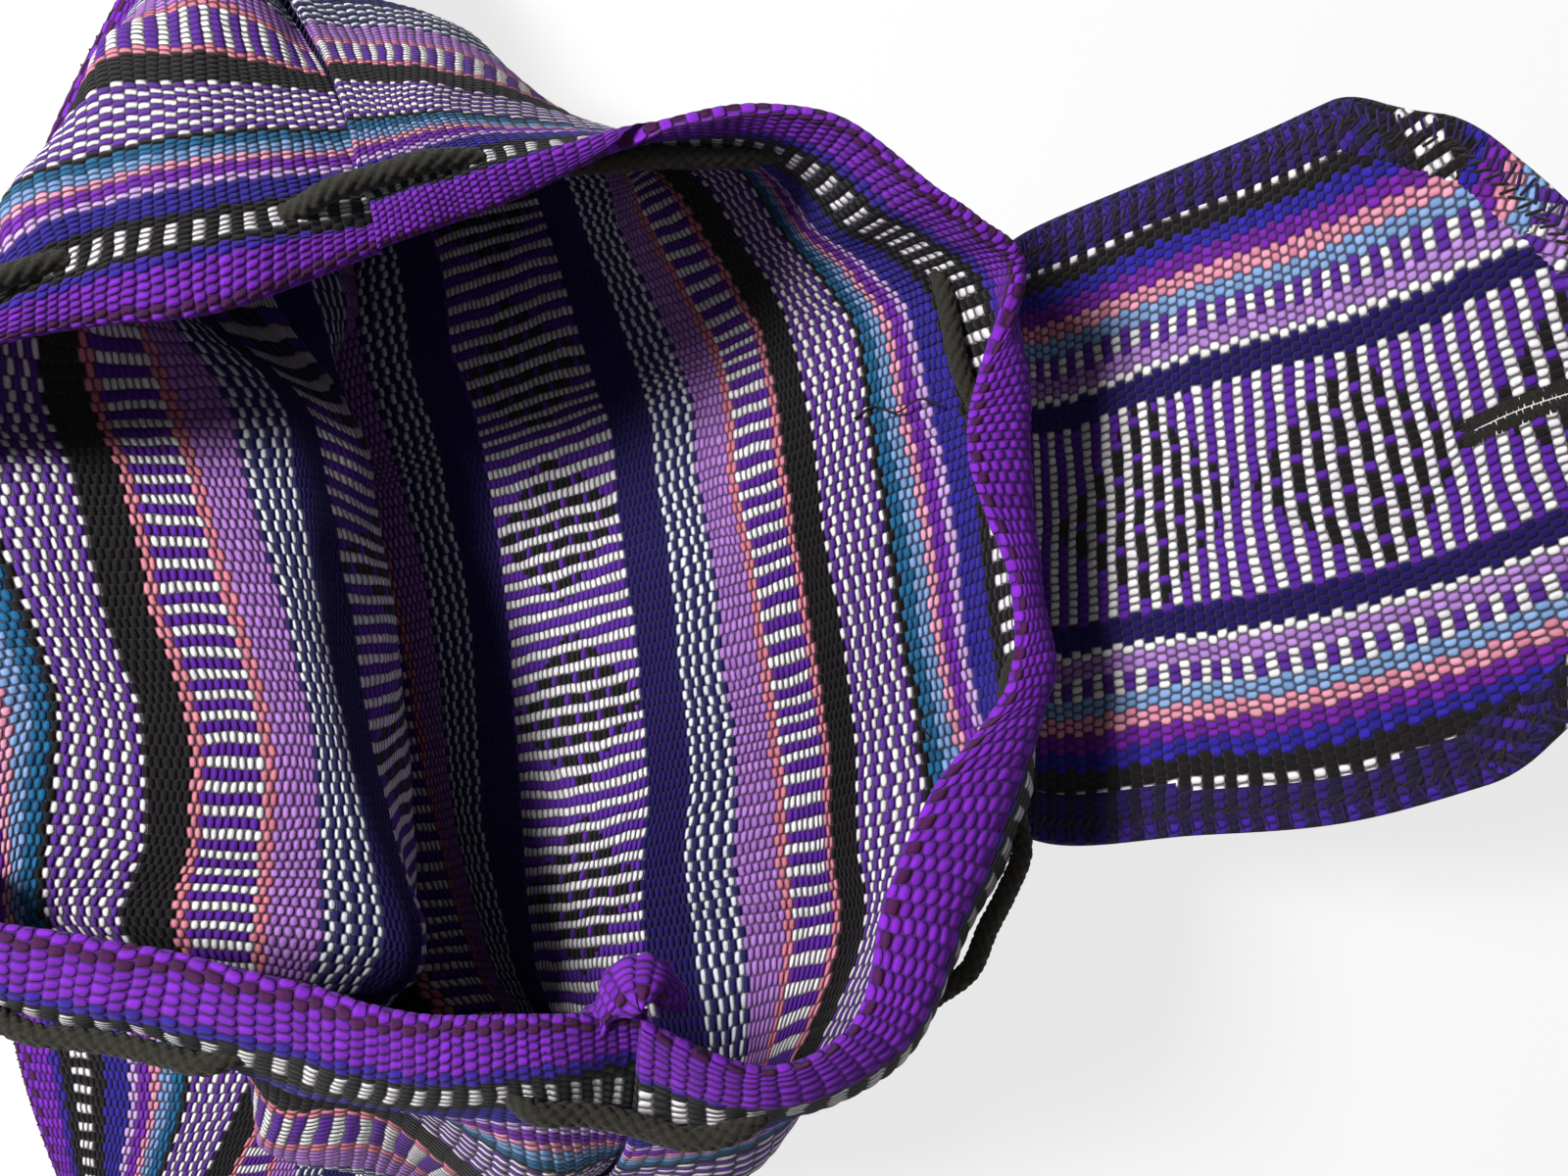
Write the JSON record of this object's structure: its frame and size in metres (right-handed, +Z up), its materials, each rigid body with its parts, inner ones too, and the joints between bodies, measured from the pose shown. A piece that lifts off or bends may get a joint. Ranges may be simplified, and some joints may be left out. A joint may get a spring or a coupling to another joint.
{
  "type": "drawstring backpack",
  "caption": "Handwoven striped drawstring backpack lying open on its back, mouth held by a threaded cord, with its button flap thrown back.",
  "frame": {"origin": "middle of the footprint of everything but the cord, on the surface the bag lies on", "axes": "+Z up, +X from the bag's bottom towards its mouth and flap, +Y across the bag towards its first side seam"},
  "size_m": [0.5044, 0.4247, 0.1347],
  "materials": {
    "woven_cotton": "thick handwoven cotton with coloured stripes",
    "flap_cotton": "thick handwoven cotton with a bound edge",
    "strap_webbing": "plain woven cotton band",
    "braided_cord": "round charcoal braid",
    "turned_wood": "smooth oiled wood"
  },
  "bodies": {
    "root": {"back_panel": "woven_cotton", "front_panel": "woven_cotton", "flap": "flap_cotton", "left_strap": "strap_webbing", "right_strap": "strap_webbing", "drawstring": "braided_cord", "button": "turned_wood"}
  },
  "joints": []
}
